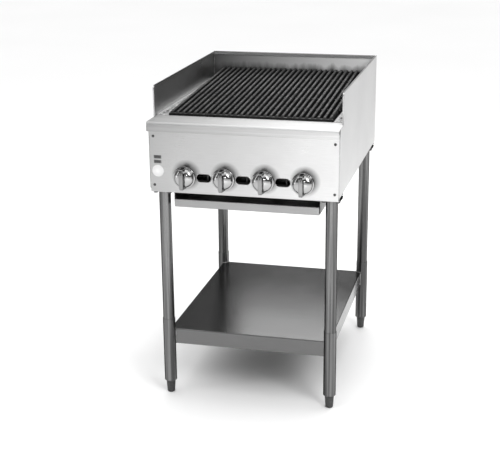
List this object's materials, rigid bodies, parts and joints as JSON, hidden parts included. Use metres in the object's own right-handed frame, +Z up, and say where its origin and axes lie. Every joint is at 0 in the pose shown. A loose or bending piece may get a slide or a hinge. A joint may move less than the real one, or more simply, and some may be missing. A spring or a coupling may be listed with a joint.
{
  "type": "gas charbroiler grill",
  "caption": "Gas charbroiler on an open stand: cast grates between splash guards, round knobs on a front panel, a drip tray and an undershelf on round legs.",
  "frame": {"origin": "on the floor, in the middle of the overall box", "axes": "+Z up, -Y towards the cook (the knobs' side), +X to the right seen from the front"},
  "size_m": [0.61, 0.874, 1.051],
  "materials": {
    "brushed_stainless": "satin brushed",
    "shelf_steel": "satin galvanised",
    "leg_steel": "satin tube",
    "tray_steel": "satin",
    "firebox_steel": "aluminised, dull",
    "cast_iron": "rough as-cast",
    "grate_iron": "seasoned",
    "black_pipe": "lacquered pipe",
    "brass": "machined",
    "aluminium_tube": "drawn",
    "zinc": "zinc plated",
    "chrome": "polished die-casting",
    "label": "blank"
  },
  "bodies": {
    "body": {"left_side_panel": "brushed_stainless", "right_side_panel": "brushed_stainless", "back_panel": "brushed_stainless", "back_splash": "brushed_stainless", "front_panel": "brushed_stainless", "front_rail": "brushed_stainless", "left_firebox_liner": "firebox_steel", "right_firebox_liner": "firebox_steel", "front_firebox_liner": "firebox_steel", "front_bottom_rail": "firebox_steel", "rear_bottom_rail": "firebox_steel", "grate_rests": "firebox_steel", "firebox_racks": "firebox_steel", "gas_manifold": "black_pipe", "gas_supply_pipe": "black_pipe", "gas_inlet_fitting": "black_pipe", "gas_valves": "brass", "orifice_hoods": "brass", "pilot_tubes": "aluminium_tube", "tray_runners": "firebox_steel", "undershelf": "shelf_steel", "leg_sleeves": "leg_steel", "leg_plates": "leg_steel", "leg_plate_bolts": "zinc", "foot_inserts": "zinc", "panel_screws": "zinc", "panel_labels": "label", "burner_1": "cast_iron", "radiant_1": "cast_iron", "burner_2": "cast_iron", "radiant_2": "cast_iron", "burner_3": "cast_iron", "radiant_3": "cast_iron", "burner_4": "cast_iron", "radiant_4": "cast_iron", "leg_front_left": "leg_steel", "leg_front_right": "leg_steel", "leg_back_left": "leg_steel", "leg_back_right": "leg_steel"},
    "knob_1": {"knob_1": "chrome", "valve_stem_1": "brass"},
    "knob_2": {"knob_2": "chrome", "valve_stem_2": "brass"},
    "knob_3": {"knob_3": "chrome", "valve_stem_3": "brass"},
    "knob_4": {"knob_4": "chrome", "valve_stem_4": "brass"},
    "air_shutter_1": {"air_shutter_1": "firebox_steel"},
    "air_shutter_2": {"air_shutter_2": "firebox_steel"},
    "air_shutter_3": {"air_shutter_3": "firebox_steel"},
    "air_shutter_4": {"air_shutter_4": "firebox_steel"},
    "grate_1": {"grate_1": "grate_iron"},
    "grate_2": {"grate_2": "grate_iron"},
    "grate_3": {"grate_3": "grate_iron"},
    "grate_4": {"grate_4": "grate_iron"},
    "drip_tray": {"drip_tray": "tray_steel"},
    "foot_front_left": {"foot_front_left": "zinc"},
    "foot_front_right": {"foot_front_right": "zinc"},
    "foot_back_left": {"foot_back_left": "zinc"},
    "foot_back_right": {"foot_back_right": "zinc"}
  },
  "joints": [
    {"name": "knob_1_turn", "type": "hinge", "parent": "body", "child": "knob_1", "pos_m": [-0.1905, -0.395, 0.773], "axis": [0, -1, 0], "range_deg": [0, 90]},
    {"name": "knob_2_turn", "type": "hinge", "parent": "body", "child": "knob_2", "pos_m": [-0.0635, -0.395, 0.773], "axis": [0, -1, 0], "range_deg": [0, 90]},
    {"name": "knob_3_turn", "type": "hinge", "parent": "body", "child": "knob_3", "pos_m": [0.0635, -0.395, 0.773], "axis": [0, -1, 0], "range_deg": [0, 90]},
    {"name": "knob_4_turn", "type": "hinge", "parent": "body", "child": "knob_4", "pos_m": [0.1905, -0.395, 0.773], "axis": [0, -1, 0], "range_deg": [0, 90]},
    {"name": "air_shutter_1_turn", "type": "hinge", "parent": "body", "child": "air_shutter_1", "pos_m": [-0.1905, -0.327, 0.773], "axis": [0, -1, 0], "range_deg": [0, 90]},
    {"name": "air_shutter_2_turn", "type": "hinge", "parent": "body", "child": "air_shutter_2", "pos_m": [-0.0635, -0.327, 0.773], "axis": [0, -1, 0], "range_deg": [0, 90]},
    {"name": "air_shutter_3_turn", "type": "hinge", "parent": "body", "child": "air_shutter_3", "pos_m": [0.0635, -0.327, 0.773], "axis": [0, -1, 0], "range_deg": [0, 90]},
    {"name": "air_shutter_4_turn", "type": "hinge", "parent": "body", "child": "air_shutter_4", "pos_m": [0.1905, -0.327, 0.773], "axis": [0, -1, 0], "range_deg": [0, 90]},
    {"name": "grate_1_lift", "type": "slide", "parent": "body", "child": "grate_1", "axis": [0, 0, 1], "range_m": [0, 0.15]},
    {"name": "grate_2_lift", "type": "slide", "parent": "body", "child": "grate_2", "axis": [0, 0, 1], "range_m": [0, 0.15]},
    {"name": "grate_3_lift", "type": "slide", "parent": "body", "child": "grate_3", "axis": [0, 0, 1], "range_m": [0, 0.15]},
    {"name": "grate_4_lift", "type": "slide", "parent": "body", "child": "grate_4", "axis": [0, 0, 1], "range_m": [0, 0.15]},
    {"name": "drip_tray_slide", "type": "slide", "parent": "body", "child": "drip_tray", "axis": [0, -1, 0], "range_m": [0, 0.55]},
    {"name": "foot_front_left_adjust", "type": "slide", "parent": "body", "child": "foot_front_left", "axis": [0, 0, -1], "range_m": [0, 0.02]},
    {"name": "foot_front_right_adjust", "type": "slide", "parent": "body", "child": "foot_front_right", "axis": [0, 0, -1], "range_m": [0, 0.02]},
    {"name": "foot_back_left_adjust", "type": "slide", "parent": "body", "child": "foot_back_left", "axis": [0, 0, -1], "range_m": [0, 0.02]},
    {"name": "foot_back_right_adjust", "type": "slide", "parent": "body", "child": "foot_back_right", "axis": [0, 0, -1], "range_m": [0, 0.02]}
  ]
}
